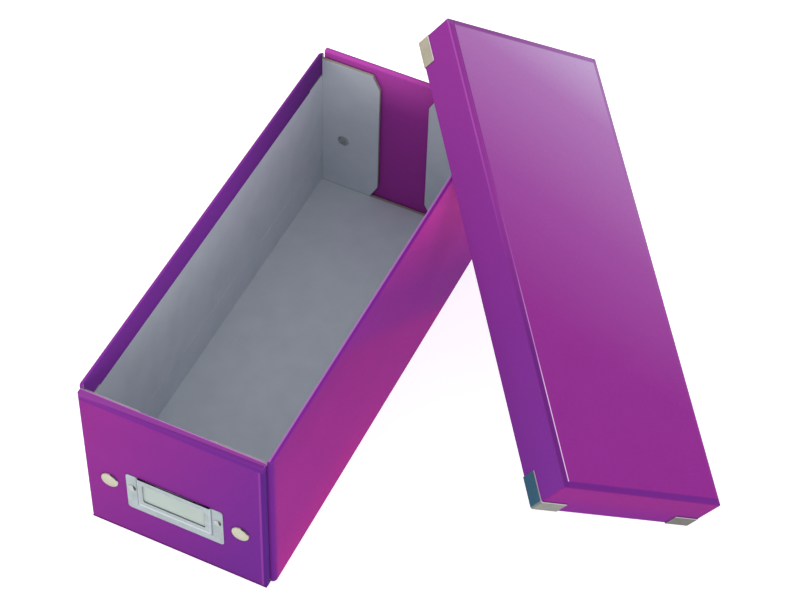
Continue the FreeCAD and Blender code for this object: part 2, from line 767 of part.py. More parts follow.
def lean_placement():
    """Find the place at which the tilted lid touches the floor and the wall's rim."""
    turn = Rotation(Vector(0, 0, 1), SIZES["lean_turn"])
    rise = Rotation(Vector(1, 0, 0), SIZES["lean_rise"])
    roll = Rotation(Vector(0, 1, 0), SIZES["lean_roll"])
    tilt = turn * rise * roll
    across, along, up = (tilt.multVec(axis) for axis in (LEFT_RIGHT, FRONT_REAR, Vector(0, 0, 1)))

    # The lowest point is on the round corner of the near right guard
    slope = Vector(across.z, along.z, 0)
    centre_x = value(lid_half_width) - SIZES["lid_corner_radius"]
    centre_y = SIZES["lid_corner_radius"] - value(lid_half_length)
    reach = SIZES["lid_corner_radius"] + SIZES["guard_metal"]
    foot = centre_x * across.z + centre_y * along.z - reach * slope.Length
    foot -= (SIZES["lid_height"] + SIZES["guard_metal"]) * up.z
    rise_z = -foot

    # The inner edge of the left rim runs past the wall's rounded top at the gap
    rim_x = value(lid_wall) - value(lid_half_width)
    rim = across * rim_x - up * SIZES["lid_height"] + Vector(0, 0, rise_z)
    ridge = Vector(
        SIZES["body_width"] / 2 - SIZES["rim_radius"],
        0,
        SIZES["body_height"] - SIZES["rim_radius"],
    )
    apart = FRONT_REAR.cross(along).normalize()
    wanted = SIZES["rim_radius"] + SIZES["lean_gap"]
    shift_x = (wanted - (rim - ridge).dot(apart)) / apart.x
    rim.x += shift_x
    across_ridge = Vector(along.x, 0, along.z)
    offset = Vector(ridge.x - rim.x, 0, ridge.z - rim.z)
    crossing = rim.y + along.y * offset.dot(across_ridge) / across_ridge.dot(across_ridge)
    shift_y = SIZES["lean_cross"] - crossing
    return Placement(Vector(shift_x, shift_y, rise_z), tilt)


lid_wall = size("( film + lid_board + paper )")
lid_half_width = size("( body_width / 2 + lid_clearance + film + lid_board + paper )")
lid_half_length = size("( body_depth / 2 + lid_clearance + film + lid_board + paper )")


def make_lid():
    """Build the lid about its own top centre, then set every piece to the lean."""
    height = size("lid_height")
    rim = f"0 - {height}"
    under_rim = f"0 - 2 * {height}"
    film, under_paper = size("film"), size("film + lid_board")

    def upright_form(name, inset, bottom, top):
        x = (f"0 - {lid_half_width} + {inset}", f"{lid_half_width} - ({inset})")
        y = (f"0 - {lid_half_length} + {inset}", f"{lid_half_length} - ({inset})")
        solid = block(f"{name}_block", x, y, (bottom, top))
        radius = f"Sizes.lid_corner_radius - ({inset})"
        if value(radius) <= 0.05:
            return solid
        return rounded(name, solid, radius, is_upright)

    def lid_form(name, inset, bottom):
        """Make the lid's outline with its bevelled top, drawn in by an inset."""
        bevel_low = size("0 - lid_bevel_drop")
        x, y = f"({lid_half_width} - ({inset}))", f"({lid_half_length} - ({inset}))"
        lower = block(f"{name}_lower", (f"0 - {x}", x), (f"0 - {y}", y),
                      (bottom, f"{bevel_low} - ({inset})"))
        roof = doc.addObject("Part::Wedge", f"{name}_roof")
        roof.Placement.Rotation = Rotation(Vector(1, 0, 0), 90)
        roof.setExpression("Placement.Base.z", f"{bevel_low} - ({inset})")
        for side, limit, crease in (("X", x, lid_half_width), ("Z", y, lid_half_length)):
            roof.setExpression(f"{side}min", f"0 - {limit}")
            roof.setExpression(f"{side}max", limit)
            roof.setExpression(f"{side}2min", f"0 - {crease} + Sizes.lid_bevel_width")
            roof.setExpression(f"{side}2max", f"{crease} - Sizes.lid_bevel_width")
        roof.Ymin = 0
        roof.setExpression("Ymax", size("lid_bevel_drop"))
        solid = fuse(f"{name}_whole", lower, roof)
        corners = upright_form(f"{name}_corners", inset, bottom, "0")
        return common(name, solid, corners)

    outside = lid_form("lid_outside", "0", rim)
    board_outside = lid_form("lid_board_outside", film, under_rim)
    board_inside = lid_form("lid_board_inside", under_paper, under_rim)
    paper_inside = lid_form("lid_paper_inside", lid_wall, under_rim)
    rim_inside = upright_form("lid_rim_inside", lid_wall, under_rim, "0")
    rim_space = upright_form("lid_rim_space", lid_wall, under_rim, f"0 - {height} / 2")

    # Film: outside, round the rim and turned in
    everything = size("2 * body_depth")
    above_rim_film = block(
        "above_rim_film",
        (f"0 - {everything}", everything), (f"0 - {everything}", everything),
        (f"{rim} + {film}", height),
    )
    filled = common("lid_board_filled", board_outside, above_rim_film)
    shell = cut("lid_film_shell", outside, filled, rim_space)
    turn_outer = upright_form("lid_turn_in_outside", under_paper, f"{rim} + {film}",
                              f"{rim} + Sizes.lid_turn_in")
    turn_in = cut("lid_turn_in_band", turn_outer, rim_inside)
    cover = fuse("lid_film", shell, turn_in)

    # One board: the top with its bevel, and a skirt in four lengths
    board = common("lid_board_solid", cut("lid_board_shell", board_outside, board_inside),
                   above_rim_film)
    fold = f"(0 - Sizes.lid_bevel_drop - ({under_paper}))"
    top_space = block(
        "lid_top_space",
        (f"0 - {everything}", everything), (f"0 - {everything}", everything),
        (fold, height),
    )
    top_board = common("lid_top_solid", board, top_space)
    skirt = cut("lid_skirt_solid", board, top_space)
    side_x = f"({lid_half_width} - ({under_paper}))"
    side_space = block(
        "lid_side_space", (side_x, everything), (f"0 - {everything}", everything),
        (under_rim, height),
    )
    right_skirt = common("lid_right_solid", skirt, side_space)
    left_skirt = mirror("lid_left_solid", right_skirt, LEFT_RIGHT)
    end_space = block(
        "lid_end_space", (f"0 - {side_x}", side_x), (f"0 - {everything}", "0"),
        (under_rim, height),
    )
    front_skirt = common("lid_front_solid", skirt, end_space)
    rear_skirt = mirror("lid_rear_solid", front_skirt, FRONT_REAR)

    # Paper inside, from the turned-in film up and across the top
    above_turn_in = block(
        "above_turn_in",
        (f"0 - {everything}", everything), (f"0 - {everything}", everything),
        (f"{rim} + Sizes.lid_turn_in", height),
    )
    lining = common("lid_paper", cut("lid_paper_shell", board_inside, paper_inside), above_turn_in)

    # Corner guard: a leg on each side, folded under the rim and up inside it
    metal = size("guard_metal")
    guard_top = f"{rim} + Sizes.guard_height"
    guard_block = upright_form("guard_outside", f"(0 - {metal})", f"{rim} - {metal}", guard_top)
    skirt_outer = upright_form("guard_skirt_outside", "0", rim, height)
    skirt_inner = upright_form("guard_skirt_inside", lid_wall, under_rim, height)
    return_inner = upright_form("guard_return_inside", f"{lid_wall} + {metal}", under_rim, height)
    legs = cut("guard_legs", guard_block, cut("guard_skirt", skirt_outer, skirt_inner),
               return_inner)
    return_space = upright_form("guard_return_space", lid_wall, f"{rim} + Sizes.guard_return",
                                height)
    clenched = cut("guard_clenched", legs, return_space)
    corner = block(
        "guard_corner",
        (f"{lid_half_width} - Sizes.guard_leg", everything),
        (f"0 - {everything}", f"0 - {lid_half_length} + Sizes.guard_leg"),
        (under_rim, height),
    )
    near_right = common("near_right_guard", clenched, corner)
    near_left = mirror("near_left_guard", near_right, LEFT_RIGHT)
    far_right = mirror("far_right_guard", near_right, FRONT_REAR)
    far_left = mirror("far_left_guard", near_left, FRONT_REAR)

    pieces = (
        (cover, "lid_cover"),
        (top_board, "lid_top_board"),
        (left_skirt, "lid_left_skirt"),
        (right_skirt, "lid_right_skirt"),
        (front_skirt, "lid_front_skirt"),
        (rear_skirt, "lid_rear_skirt"),
        (lining, "lid_lining"),
        (near_left, "lid_guard_front_left"),
        (near_right, "lid_guard_front_right"),
        (far_left, "lid_guard_rear_left"),
        (far_right, "lid_guard_rear_right"),
    )
    lean = lean_placement()
    for piece, label in pieces:
        leaning = group(f"{label}_leaning", piece)
        leaning.Placement = lean
        node(leaning, label)


make_tray()
make_studs()
make_end_panels()
make_label_holder()
make_lid()
doc.recompute()

for item in doc.Objects:
    if "Invalid" in item.State or "Error" in item.State:
        raise RuntimeError(f"{item.Label} failed: {item.State}")
for item in NODES:
    if item.Shape.isNull() or not item.Shape.isValid() or not item.Shape.Solids:
        raise RuntimeError(f"{item.Label} has no valid shape")
    item.Shape.exportStep(f"parts/{item.Label}.step")
    print(f"{item.Label}: {len(item.Shape.Solids)} solid(s), {item.Shape.Volume:.1f} mm3")
print(f"{len(NODES)} sub-parts")
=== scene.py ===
"""Studio scene of the media storage box: finishes, fine pieces, light and camera.

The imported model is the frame. Its nodes are dressed in their finishes, and the
pieces whose edges catch the light are made again here with soft edges.
Lengths are in metres unless a comment says millimetres, and colours are
written as 0 to 255.
"""
from __future__ import annotations

import json
import logging
import math
from abc import ABC, abstractmethod
from collections.abc import Callable, Sequence
from dataclasses import dataclass, field, replace
from enum import Enum
from functools import cache

import bmesh
import bpy
from mathutils import Euler, Matrix, Vector


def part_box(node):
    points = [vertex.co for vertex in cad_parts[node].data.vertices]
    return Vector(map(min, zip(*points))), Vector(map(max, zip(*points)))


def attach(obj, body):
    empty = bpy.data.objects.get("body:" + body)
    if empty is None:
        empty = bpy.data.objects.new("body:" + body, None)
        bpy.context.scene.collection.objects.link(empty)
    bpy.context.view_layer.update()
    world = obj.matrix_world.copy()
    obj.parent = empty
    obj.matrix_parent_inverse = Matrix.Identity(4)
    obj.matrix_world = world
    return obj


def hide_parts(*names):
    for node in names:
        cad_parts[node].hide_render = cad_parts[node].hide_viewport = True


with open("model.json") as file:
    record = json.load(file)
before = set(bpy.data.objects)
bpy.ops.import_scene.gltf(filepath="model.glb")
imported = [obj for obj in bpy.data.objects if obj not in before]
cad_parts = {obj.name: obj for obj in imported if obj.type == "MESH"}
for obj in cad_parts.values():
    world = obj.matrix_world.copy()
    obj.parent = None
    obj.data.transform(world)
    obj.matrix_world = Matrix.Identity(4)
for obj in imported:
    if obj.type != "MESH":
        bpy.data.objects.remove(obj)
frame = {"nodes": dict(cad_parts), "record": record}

LOG = logging.getLogger("storage_box")
MM = 0.001
TOUCH = 0.01 * MM
SHARP_ANGLE = math.radians(35)
METAL_ROUNDING = 0.14 * MM
WHITE = (1.0, 1.0, 1.0, 1.0)

Colour = tuple[float, float, float]
Linear = tuple[float, float, float, float]
Direction = tuple[float, float, float]
Point = tuple[float, float]
Span = tuple[float, float]


class Body(Enum):
    """The bodies on which pieces ride."""

    TRAY = "tray"
    FRONT = "front_panel"
    REAR = "rear_panel"
    CARD = "card"
    LID = "lid"


class Slot(Enum):
    """The record's material slots."""

    FILM = "cover_film"
    BOARD = "core_board"
    LINING = "lining_paper"
    CAP = "stud_metal"
    RIVET = "rivet_steel"
    HOLDER = "holder_steel"
    CARD = "card_paper"
    GUARD = "guard_steel"


class LidAxis(Enum):
    """The lid's own axes, by their column in the matrix that tilts it."""

    ACROSS = 0
    ALONG = 1
    OUT = 2


def tone(colour: Colour) -> Linear:
    """Turn a 0 to 255 display colour into a linear one.

    Args:
        colour: Red, green and blue as a picture shows them.

    Returns:
        The linear colour with full opacity.
    """
    linear = []
    for level in colour:
        part = level / 255
        linear.append(part / 12.92 if part <= 0.04045 else ((part + 0.055) / 1.055) ** 2.4)
    return (linear[0], linear[1], linear[2], 1.0)


@dataclass(frozen=True)
class Slope:
    """A rise from 0 to 1 along a direction, between two distances in metres."""

    direction: Direction
    start: float
    end: float


def slanted(direction: Direction, start: float, end: float) -> Slope:
    """Rise along a direction of the row frame, between millimetres."""
    return Slope(direction, start * MM, end * MM)


def rise(axis: str, start: float, end: float) -> Slope:
    """Rise along an axis of the row frame, written as x, y or z, between millimetres."""
    return slanted(tuple(1.0 if name == axis else 0.0 for name in "xyz"), start, end)


def band(axis: str, low: Span, high: Span) -> tuple[Slope, Slope]:
    """Rise across the low span of an axis and fall again across the high one.

    Args:
        axis: The axis of the row frame, written as x, y or z.
        low: Where the band fades in, in millimetres.
        high: Where it fades out.

    Returns:
        The two slopes.
    """
    return rise(axis, *low), rise(axis, high[1], high[0])


@dataclass(frozen=True)
class Tint:
    """A tone that shows where all its slopes have risen."""

    colour: Colour
    slopes: tuple[Slope, ...]
    strength: float = 1.0


class Nodes:
    """A node tree that is being put together."""

    def __init__(self, tree: bpy.types.NodeTree) -> None:
        """Start from an empty tree.

        Args:
            tree: The tree of a material or a world.
        """
        self.tree = tree
        self.tree.nodes.clear()

    def put(self, node: bpy.types.Node, socket: str | int, value: object) -> None:
        """Set a socket, or join it where the value is another node's output.

        Args:
            node: The node.
            socket: Its input, by name or number.
            value: A plain value or an output.
        """
        if isinstance(value, bpy.types.NodeSocket):
            self.tree.links.new(value, node.inputs[socket])
        else:
            node.inputs[socket].default_value = value

    def add(
        self,
        kind: str,
        sockets: dict[str | int, object],
        **settings: object,
    ) -> bpy.types.Node:
        """Add a node.

        Args:
            kind: The node's type without its ShaderNode prefix.
            sockets: Values or outputs by input name or number.
            **settings: The node's own properties.

        Returns:
            The new node.
        """
        node = self.tree.nodes.new(f"ShaderNode{kind}")
        for key, value in settings.items():
            setattr(node, key, value)
        for socket, value in sockets.items():
            self.put(node, socket, value)
        return node

    def span(
        self,
        value: bpy.types.NodeSocket,
        low: float,
        high: float,
        start: float = 0.3,
        end: float = 0.7,
    ) -> bpy.types.NodeSocket:
        """Map a value from start..end onto low..high and clamp it there.

        Args:
            value: The value, such as a noise.
            low: What start becomes.
            high: What end becomes.
            start: The value that becomes low.
            end: The value that becomes high.

        Returns:
            The mapped value.
        """
        node = self.add(
            "MapRange",
            {"Value": value, "From Min": start, "From Max": end, "To Min": low, "To Max": high},
        )
        return node.outputs["Result"]

    def seen_strength(self, unseen: float, seen: float) -> bpy.types.NodeSocket:
        """Give one strength to rays from the camera or off gloss and glass, another to the rest.

        Args:
            unseen: The strength for all other rays.
            seen: The strength for the camera, glossy and transmission rays.

        Returns:
            The strength's output.
        """
        path = self.add("LightPath", {})
        shown = path.outputs["Is Camera Ray"]
        for kind in ("Is Glossy Ray", "Is Transmission Ray"):
            both = self.add("Math", {0: shown, 1: path.outputs[kind]}, operation="ADD", use_clamp=True)
            shown = both.outputs[0]
        return self.span(shown, unseen, seen, 0.0, 1.0)


class Shading(Nodes):
    """The nodes of a material, with its shader and the object's coordinates."""

    def __init__(self, name: str) -> None:
        """Start an empty material.

        Args:
            name: The material's name.
        """
        self.material = bpy.data.materials.new(name)
        self.material.use_nodes = True
        super().__init__(self.material.node_tree)
        self.output = self.add("OutputMaterial", {})
        self.shader = self.add("BsdfPrincipled", {})
        self.show(self.shader)
        self.place = self.add("TexCoord", {}).outputs["Object"]

    def show(self, shader: bpy.types.Node) -> None:
        """Join a shader to the material's surface."""
        self.put(self.output, "Surface", shader.outputs[0])

    def noise(
        self,
        size: float,
        detail: float = 2.0,
        roughness: float = 0.5,
        scale: Sequence[float] = (1, 1, 1),
    ) -> bpy.types.NodeSocket:
        """Make a noise whose features are about as large as given.

        Args:
            size: Feature size in metres.
            detail: Number of finer layers.
            roughness: Strength of the finer layers.
            scale: Stretch of the coordinates.

        Returns:
            The noise between 0 and 1.
        """
        mapped = self.add("Mapping", {"Vector": self.place, "Scale": scale}).outputs["Vector"]
        node = self.add(
            "TexNoise",
            {"Vector": mapped, "Scale": 1 / size, "Detail": detail, "Roughness": roughness},
        )
        return node.outputs["Fac"]

    def mix(
        self, amount: bpy.types.NodeSocket, first: object, second: object
    ) -> bpy.types.NodeSocket:
        """Blend two linear colours or colour outputs by an amount."""
        node = self.add("Mix", {0: amount, 6: first, 7: second}, data_type="RGBA")
        return node.outputs[2]

    def shaded(
        self, amount: bpy.types.NodeSocket, first: object, shade: Colour
    ) -> bpy.types.NodeSocket:
        """Darken a colour by a shade, by an amount.

        Args:
            amount: How much of the shade shows, between 0 and 1.
            first: The linear colour or colour output.
            shade: The shade that multiplies it.

        Returns:
            The darkened colour.
        """
        sockets = {0: amount, 6: first, 7: tone(shade)}
        node = self.add("Mix", sockets, data_type="RGBA", blend_type="MULTIPLY")
        return node.outputs[2]

    def slope(self, slope: Slope) -> bpy.types.NodeSocket:
        """Lay a slope over the object.

        Args:
            slope: The slope, whose end may lie before its start.

        Returns:
            The amount between 0 and 1.
        """
        node = self.add("VectorMath", {0: self.place, 1: slope.direction}, operation="DOT_PRODUCT")
        return self.span(node.outputs["Value"], 0.0, 1.0, slope.start, slope.end)

    def tinted(self, colour: bpy.types.NodeSocket, tints: Sequence[Tint]) -> bpy.types.NodeSocket:
        """Lay tints over a colour, one after another.

        Args:
            colour: The colour output below them.
            tints: The tints, each of which shows where all its slopes have risen.

        Returns:
            The tinted colour.
        """
        for tint in tints:
            amount: object = tint.strength
            for slope in tint.slopes:
                sockets = {0: self.slope(slope), 1: amount}
                amount = self.add("Math", sockets, operation="MULTIPLY").outputs[0]
            colour = self.mix(amount, colour, tone(tint.colour))
        return colour

    def bump(
        self,
        height: bpy.types.NodeSocket,
        depth: float,
        strength: float,
        under: bpy.types.NodeSocket | None = None,
    ) -> bpy.types.NodeSocket:
        """Raise a height field on the surface.

        Args:
            height: The height between 0 and 1.
            depth: How far 1 stands above 0, in metres.
            strength: Share of the effect.
            under: The normal of an earlier bump.

        Returns:
            The bent normal.
        """
        node = self.add("Bump", {"Height": height, "Distance": depth, "Strength": strength})
        if under is not None:
            self.put(node, "Normal", under)
        return node.outputs["Normal"]

    def finish(self, **sockets: object) -> bpy.types.Material:
        """Set the shader's sockets.

        Args:
            **sockets: Values or outputs by the socket's name, with underscores for spaces.

        Returns:
            The material.
        """
        names = {socket.name.lower().replace(" ", "_"): socket.name for socket in self.shader.inputs}
        for key, value in sockets.items():
            self.put(self.shader, names[key], value)
        return self.material


@dataclass(frozen=True)
class Finish(ABC):
    """A finish that makes one material under its name."""

    name: str

    @abstractmethod
    def material(self) -> bpy.types.Material:
        """Make the finish's material."""


@cache
def made(finish: Finish) -> bpy.types.Material:
    """Make a finish's material the first time that it is asked for."""
    return finish.material()


@dataclass(frozen=True)
class FilmFinish(Finish):
    """Satin coloured film over board, with the board's fine grain showing."""

    colour: Colour
    tints: tuple[Tint, ...] = ()
    gloss: float = 0.36
    specular: float = 0.004
    shade: Colour = (247, 243, 248)
    mottle: float = 30 * MM
    fleck: float = 1.6 * MM
    grain: float = 1.1 * MM
    grain_depth: float = 0.03 * MM
    ripple: float = 4.5 * MM
    ripple_depth: float = 0.12 * MM
    polish: float = 2.5 * MM

    def material(self) -> bpy.types.Material:
        """Make the film's material, tinted between its mottle and its fleck.

        Returns:
            The material.
        """
        shading = Shading(self.name)
        mottle = shading.span(shading.noise(self.mottle, 3), 0.0, 0.8)
        fleck = shading.span(shading.noise(self.fleck, 3, 0.6), 0.0, 0.7)
        colour = shading.shaded(mottle, tone(self.colour), self.shade)
        colour = shading.tinted(colour, self.tints)
        colour = shading.shaded(fleck, colour, self.shade)
        normal = shading.bump(shading.noise(self.ripple), self.ripple_depth, 0.35)
        normal = shading.bump(shading.noise(self.grain, 4, 0.6), self.grain_depth, 0.5, normal)
        rough = shading.span(shading.noise(self.polish, 3), self.gloss - 0.03, self.gloss + 0.05)
        return shading.finish(
            base_color=colour, roughness=rough, normal=normal, specular_ior_level=self.specular
        )


@dataclass(frozen=True)
class PaperFinish(Finish):
    """Matt pulp paper with faint fibres."""

    colour: Colour
    deep: Colour
    fibre: float = 1.2 * MM
    fibre_stretch: Direction = (1, 1, 2.5)
    fibre_depth: float = 0.04 * MM
    cloud: float = 18 * MM

    def material(self) -> bpy.types.Material:
        """Make the paper's material.

        Returns:
            The material.
        """
        shading = Shading(self.name)
        cloud = shading.span(shading.noise(self.cloud, 4), 0.0, 1.0)
        fibre = shading.noise(self.fibre, 4, 0.65, self.fibre_stretch)
        colour = shading.mix(cloud, tone(self.colour), tone(self.deep))
        colour = shading.mix(shading.span(fibre, 0.0, 0.3), colour, tone(self.deep))
        normal = shading.bump(fibre, self.fibre_depth, 0.6)
        rough = shading.span(cloud, 0.82, 0.93, 0, 1)
        return shading.finish(
            base_color=colour, roughness=rough, normal=normal, specular_ior_level=0.3
        )


@dataclass(frozen=True)
class BoardFinish(Finish):
    """Grey board, layered and flecked along its cut edges."""

    colour: Colour
    deep: Colour
    layer: float = 0.8 * MM
    layer_depth: float = 0.08 * MM

    def material(self) -> bpy.types.Material:
        """Make the board's material.

        Returns:
            The material.
        """
        shading = Shading(self.name)
        layer = shading.noise(self.layer, 5, 0.7)
        colour = shading.mix(shading.span(layer, 0.0, 1.0), tone(self.colour), tone(self.deep))
        normal = shading.bump(layer, self.layer_depth, 0.8)
        rough = shading.span(layer, 0.85, 0.98)
        return shading.finish(base_color=colour, roughness=rough, normal=normal)


@dataclass(frozen=True)
class MetalFinish(Finish):
    """Plated or lacquered steel with fine rolling marks and a little tarnish."""

    colour: Colour
    deep: Colour
    gloss: float
    metallic: float = 1.0
    marks_stretch: Direction = (1, 1, 1)
    marks: float = 2 * MM
    marks_depth: float = 0.015 * MM
    tints: tuple[Tint, ...] = ()

    def material(self) -> bpy.types.Material:
        """Make the metal's material, with clouds of tarnish three marks wide.

        Returns:
            The material.
        """
        shading = Shading(self.name)
        tarnish = shading.span(shading.noise(3 * self.marks, 3), 0.0, 1.0)
        marks = shading.noise(self.marks, 4, 0.6, self.marks_stretch)
        colour = shading.mix(tarnish, tone(self.colour), tone(self.deep))
        colour = shading.tinted(colour, self.tints)
        rough = shading.span(marks, self.gloss - 0.04, self.gloss + 0.08)
        normal = shading.bump(marks, self.marks_depth, 0.5)
        return shading.finish(
            base_color=colour, metallic=self.metallic, roughness=rough, normal=normal
        )


@dataclass(frozen=True)
class FloorFinish(Finish):
    """White sweep that keeps a soft shadow and reads as white to the camera."""

    colour: Colour = (232, 232, 232)
    glow: float = 0.5
    lift: float = 0.7

    def material(self) -> bpy.types.Material:
        """Make the floor's material: a matt white that glows a little.

        Returns:
            The material.
        """
        shading = Shading(self.name)
        shading.tree.nodes.remove(shading.shader)
        surface = shading.add("BsdfDiffuse", {"Color": tone(self.colour)})
        strength = shading.seen_strength(self.glow, self.lift)
        glow = shading.add("Emission", {"Color": WHITE, "Strength": strength})
        shading.show(shading.add("AddShader", {0: surface.outputs[0], 1: glow.outputs[0]}))
        return shading.material


# Painted shade: dark crescents on the right side of each dished cap and each domed rivet of the holder
CAP_SLANT = (0.6, 0.0, 0.8)
CAP_SHADE = (92, 74, 92)
CAP_PAINTED_SHADE = (
    Tint(CAP_SHADE, (slanted(CAP_SLANT, 17.7, 18.2), slanted(CAP_SLANT, 30, 25))),
    Tint(CAP_SHADE, (slanted(CAP_SLANT, 75.5, 76.0),)),
)
RIVET_SLANT = (0.95, 0.0, 0.31)
RIVET_SHADE = (66, 76, 82)
RIVET_PAINTED_SHADE = (
    Tint(RIVET_SHADE, (slanted(RIVET_SLANT, -11.8, -11.4), slanted(RIVET_SLANT, 0, -5))),
    Tint(RIVET_SHADE, (slanted(RIVET_SLANT, 47.9, 48.3),)),
)

# Painted highlights and painted shade along the lines where the holder's pocket is folded up from its
# plate
FOLD_HIGHLIGHT = (204, 214, 218)
FOLD_SHADE = (108, 122, 134)
HOLDER_PAINTED_LIGHT = (
    Tint(FOLD_HIGHLIGHT, (*band("x", (25.8, 26.3), (26.9, 27.3)), rise("z", 37.6, 37.9)), 0.3),
    Tint(FOLD_HIGHLIGHT, (*band("x", (-27.3, -26.9), (-26.3, -25.8)), rise("z", 37.6, 37.9)), 0.6),
    Tint(FOLD_SHADE, (*band("x", (26.9, 27.2), (27.8, 28.1)), rise("z", 36.5, 36.8)), 0.7),
    Tint(FOLD_SHADE, (*band("x", (-28.1, -27.8), (-27.2, -26.9)), rise("z", 36.5, 36.8)), 0.8),
    Tint(
        (118, 132, 144),
        (*band("z", (36.3, 36.6), (37.7, 38.0)), *band("x", (-28.1, -27.8), (27.8, 28.1))),
        0.7,
    ),
    Tint(
        (206, 216, 218),
        (*band("z", (38.2, 38.6), (40.2, 41.0)), *band("x", (-26.6, -26.2), (26.2, 26.6))),
        0.6,
    ),
)

# The finish of each material slot, and of the nodes that have one of their own
FINISHES: dict[Slot, Finish] = {
    Slot.FILM: FilmFinish("purple_film", (146, 51, 147)),
    Slot.BOARD: BoardFinish("grey_board", (176, 170, 158), (140, 132, 120)),
    Slot.LINING: PaperFinish("lining_paper", (205, 213, 219), (196, 205, 212)),
    Slot.CAP: MetalFinish("ivory_cap", (195, 195, 174), (186, 183, 156), 0.36, 0.35, tints=CAP_PAINTED_SHADE),
    Slot.RIVET: MetalFinish("plated_rivet", (206, 210, 206), (180, 186, 180), 0.24),
    Slot.HOLDER: MetalFinish(
        "satin_holder", (168, 180, 182), (154, 165, 166), 0.42, 0.7, (1, 1, 9), tints=HOLDER_PAINTED_LIGHT
    ),
    Slot.CARD: PaperFinish("blank_card", (184, 197, 191), (178, 190, 184), 0.7 * MM),
    Slot.GUARD: MetalFinish("plated_guard", (172, 168, 150), (158, 154, 136), 0.3, marks=3 * MM),
}
HOLDER_RIVET = MetalFinish(
    "holder_rivet", (186, 192, 190), (166, 172, 168), 0.28, tints=RIVET_PAINTED_SHADE
)

# The front panel, all painted light and shade: deeper towards its lower right, dark side edges and
# bands below a pale rolled top, pale strips along the right edge and the top's inner edge
FRONT_FILM_PAINTED_LIGHT = FilmFinish(
    "front_film",
    (149, 52, 144),
    (
        Tint((112, 46, 141), (slanted((0.9, 0.0, -0.43), -95, 35),)),
        Tint((150, 66, 160), band("x", (62.3, 62.7), (63.8, 64.2)), 0.7),
        Tint((88, 38, 128), (rise("x", 63.9, 64.5),)),
        Tint((94, 40, 134), (rise("x", -65.1, -65.7),)),
        Tint((118, 42, 142), (rise("z", 126.0, 128.8),), 0.7),
        Tint((160, 73, 166), (rise("z", 129.8, 131.6),), 0.9),
        Tint((104, 42, 138), (*band("z", (126.6, 127.6), (130.9, 131.5)), rise("x", -50, 60)), 0.85),
        Tint(
            (116, 44, 142),
            (rise("z", 130.2, 130.8), slanted((0.0175, -1.0, 0.0), 175.6, 176.2)),
            0.85,
        ),
        Tint((208, 140, 216), (rise("z", 131.4, 132.2), rise("y", -173.0, -172.4))),
    ),
)

# The right wall's painted light and shade: the leaning lid's soft shadow painted across it with
# painted light beyond, painted warm light low at the near end, darker towards the top, painted shade
# at the near corner and below the rim, and a painted highlight along the rim
LID_SHADE = (0.0, 0.609, 0.793)
RIGHT_COLOUR = (158, 41, 141)
RIGHT_FILM_PAINTED_LIGHT = FilmFinish(
    "right_film",
    RIGHT_COLOUR,
    (
        Tint((141, 38, 132), (rise("z", 92, 130),), 0.9),
        Tint((168, 41, 139), (rise("z", 42, 5), rise("y", 20, -60))),
        Tint((140, 40, 147), (slanted(LID_SHADE, 55, 68),), 0.85),
        Tint((134, 42, 138), (slanted(LID_SHADE, 55, 68), rise("z", 50, 25)), 0.8),
        Tint((168, 46, 152), (slanted(LID_SHADE, 88, 120),)),
        Tint((204, 54, 167), (slanted(LID_SHADE, 116, 143),)),
        Tint(RIGHT_COLOUR, (rise("y", 135, 165),)),
        Tint((112, 42, 139), (rise("y", -164.5, -169.5),)),
        Tint((132, 44, 158), (rise("z", 130.0, 131.4),), 0.8),
        Tint((188, 118, 202), (rise("z", 132.0, 132.5), rise("x", 67.7, 67.2))),
    ),
)

# The left wall: painted shade on its inner side, cooler there and deepening towards the far end
LEFT_FILM_PAINTED_SHADE = FilmFinish(
    "left_film",
    (148, 52, 146),
    (
        Tint((138, 60, 172), (rise("x", -68.0, -66.9),)),
        Tint((106, 50, 134), (rise("x", -68.0, -66.9), rise("y", 20, 150))),
    ),
)

# The rear panel: painted light on its inner face, most of all along the top
REAR_FILM_PAINTED_LIGHT = FilmFinish(
    "rear_film",
    (148, 51, 147),
    (
        Tint((168, 62, 164), (rise("y", 175.4, 174.8),)),
        Tint((205, 82, 190), (rise("y", 175.4, 174.8), rise("z", 96, 128)), 0.9),
    ),
)

NODE_FINISHES: dict[str, Finish] = {
    "front_panel_cover": FRONT_FILM_PAINTED_LIGHT,
    "rear_panel_cover": REAR_FILM_PAINTED_LIGHT,
    "label_rivets": HOLDER_RIVET,
}


def add_piece(
    bm: bmesh.types.BMesh,
    name: str,
    body: Body,
    slot: Slot,
    node: str,
    finish: Finish | None = None,
) -> bpy.types.Object:
    """Turn a mesh into a piece that rides on a body and stands for a node.

    Args:
        bm: The mesh in the row frame, which is freed.
        name: The piece's name.
        body: The body on which it rides.
        slot: The material slot of its finish.
        node: The node for which it stands.
        finish: Its finish, where that isn't the slot's own.

    Returns:
        The piece's object.
    """
    mesh = bpy.data.meshes.new(name)
    bm.to_mesh(mesh)
    bm.free()
    mesh.shade_smooth()
    mesh.set_sharp_from_angle(angle=SHARP_ANGLE)
    piece = bpy.data.objects.new(name, mesh)
    bpy.context.scene.collection.objects.link(piece)
    mesh.materials.append(made(finish or FINISHES[slot]))
    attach(piece, body.value)
    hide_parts(node)
    LOG.info("%s: %d faces on %s", name, len(mesh.polygons), body.value)
    return piece


def even_normals(piece: bpy.types.Object) -> None:
    """Keep the large faces of a bevelled piece flat to the eye.

    Args:
        piece: The piece.
    """
    modifier = piece.modifiers.new("even_normals", "WEIGHTED_NORMAL")
    modifier.keep_sharp = True
    modifier.weight = 80


def merged(node: str) -> bmesh.types.BMesh:
    """Copy a node's mesh with its triangles joined into faces.

    Args:
        node: The node's name.

    Returns:
        The copy.
    """
    bm = bmesh.new()
    bm.from_mesh(frame["nodes"][node].data)
    bmesh.ops.remove_doubles(bm, verts=bm.verts[:], dist=0.002 * MM)
    bmesh.ops.dissolve_limit(
        bm, angle_limit=math.radians(0.4), verts=bm.verts[:], edges=bm.edges[:],
        use_dissolve_boundaries=False,
    )
    return bm


